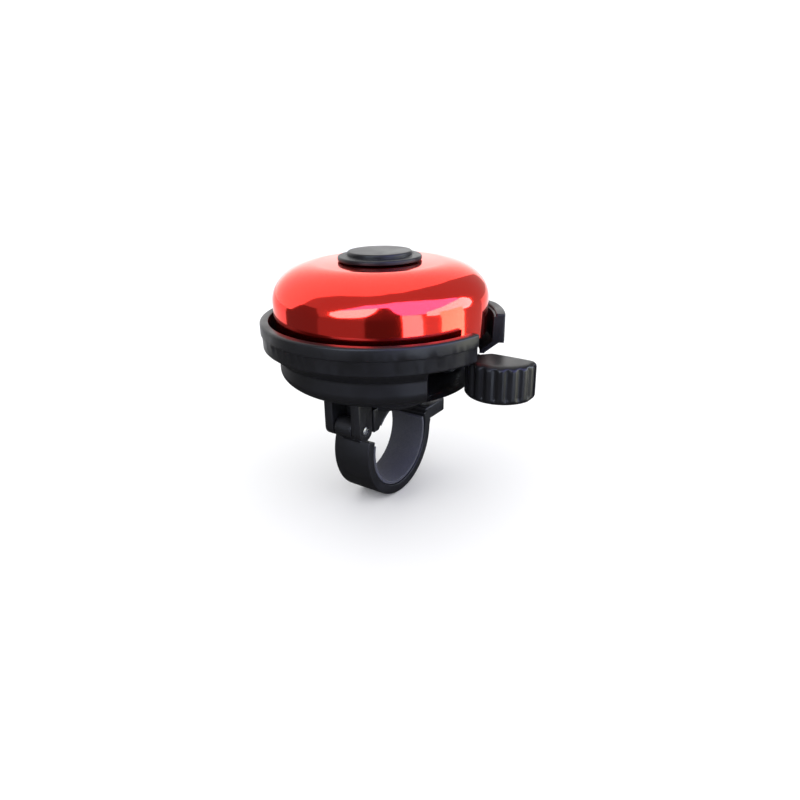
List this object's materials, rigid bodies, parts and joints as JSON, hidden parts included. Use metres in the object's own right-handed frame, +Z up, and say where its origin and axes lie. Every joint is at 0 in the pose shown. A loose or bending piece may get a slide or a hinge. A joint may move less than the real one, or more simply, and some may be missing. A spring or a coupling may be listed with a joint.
{
  "type": "bicycle bell",
  "caption": "Handlebar bell: turned red dome over a black cup, ribbed thumb lever, gear train, spinning striker with loose washers, hinged band clamp.",
  "frame": {"origin": "centre of the handlebar inside the clamp, under the middle of the bell", "axes": "+X along the handlebar towards the grip, +Y away from the rider, +Z up along the bell's axis"},
  "size_m": [0.0716, 0.061, 0.0652],
  "materials": {
    "black_plastic": "satin",
    "lever_plastic": "satin",
    "red_aluminium": "gloss",
    "steel": "satin",
    "brass": "satin",
    "spring_steel": "satin",
    "rubber": "matte",
    "white_nylon": "satin"
  },
  "bodies": {
    "housing": {"base_housing": "black_plastic", "saddle_pad": "rubber", "center_post": "steel", "thrust_washer": "white_nylon", "rotor_nut": "steel", "dome_spacer": "white_nylon", "dome_washer_lower": "rubber", "dome": "red_aluminium", "dome_washer_upper": "rubber", "cap_nut": "black_plastic", "lever_pivot_screw": "steel", "lever_washer": "steel", "lever_return_spring": "spring_steel", "idler_pin": "steel", "idler_clip": "spring_steel", "band_hinge_pin": "steel", "clamp_nut": "steel"},
    "lever": {"lever_plate": "steel", "thumb_pad": "lever_plastic"},
    "idler": {"idler_gear": "white_nylon"},
    "rotor": {"rotor_pinion": "brass", "striker_plate": "steel", "hammer_pin_a": "steel", "hammer_pin_b": "steel"},
    "hammer_a": {"hammer_washer_a": "steel"},
    "hammer_b": {"hammer_washer_b": "steel"},
    "band": {"clamp_band": "black_plastic", "band_liner": "rubber"},
    "screw": {"clamp_screw": "steel", "clamp_washer": "steel"}
  },
  "joints": [
    {"name": "thumb_lever", "type": "hinge", "parent": "housing", "child": "lever", "pos_m": [0.01158, 0.01286, 0.0225], "axis": [0, 0, 1], "range_deg": [0, 33], "stiffness_Nm_per_rad": 0.02, "springref_deg": -14.32, "deforming": ["lever_return_spring"]},
    {"name": "idler_spin", "type": "hinge", "parent": "housing", "child": "idler", "pos_m": [-0.00462, 0.01258, 0.024], "axis": [0, 0, 1], "range_deg": [-119, 0]},
    {"name": "rotor_spin", "type": "hinge", "parent": "housing", "child": "rotor", "pos_m": [0, 0, 0.029], "axis": [0, 0, 1], "range_deg": [0, 258]},
    {"name": "hammer_a_throw", "type": "slide", "parent": "rotor", "child": "hammer_a", "axis": [0.9848, 0.1736, 0], "range_m": [0, 0.0008]},
    {"name": "hammer_b_throw", "type": "slide", "parent": "rotor", "child": "hammer_b", "axis": [-0.9848, -0.1736, 0], "range_m": [0, 0.0008]},
    {"name": "clamp_screw_back_off", "type": "slide", "parent": "housing", "child": "screw", "axis": [0, 0, -1], "range_m": [0, 0.002]},
    {"name": "band_hinge", "type": "hinge", "parent": "housing", "child": "band", "pos_m": [0, -0.0152, 0.0086], "axis": [-1, 0, 0], "range_deg": [0, 3.3]}
  ],
  "couplings": [
    {"joint": "idler_spin", "follows": "thumb_lever", "ratio": -3.6},
    {"joint": "rotor_spin", "follows": "thumb_lever", "ratio": 7.8},
    {"joint": "band_hinge", "follows": "clamp_screw_back_off", "rad_per_m": 28}
  ]
}
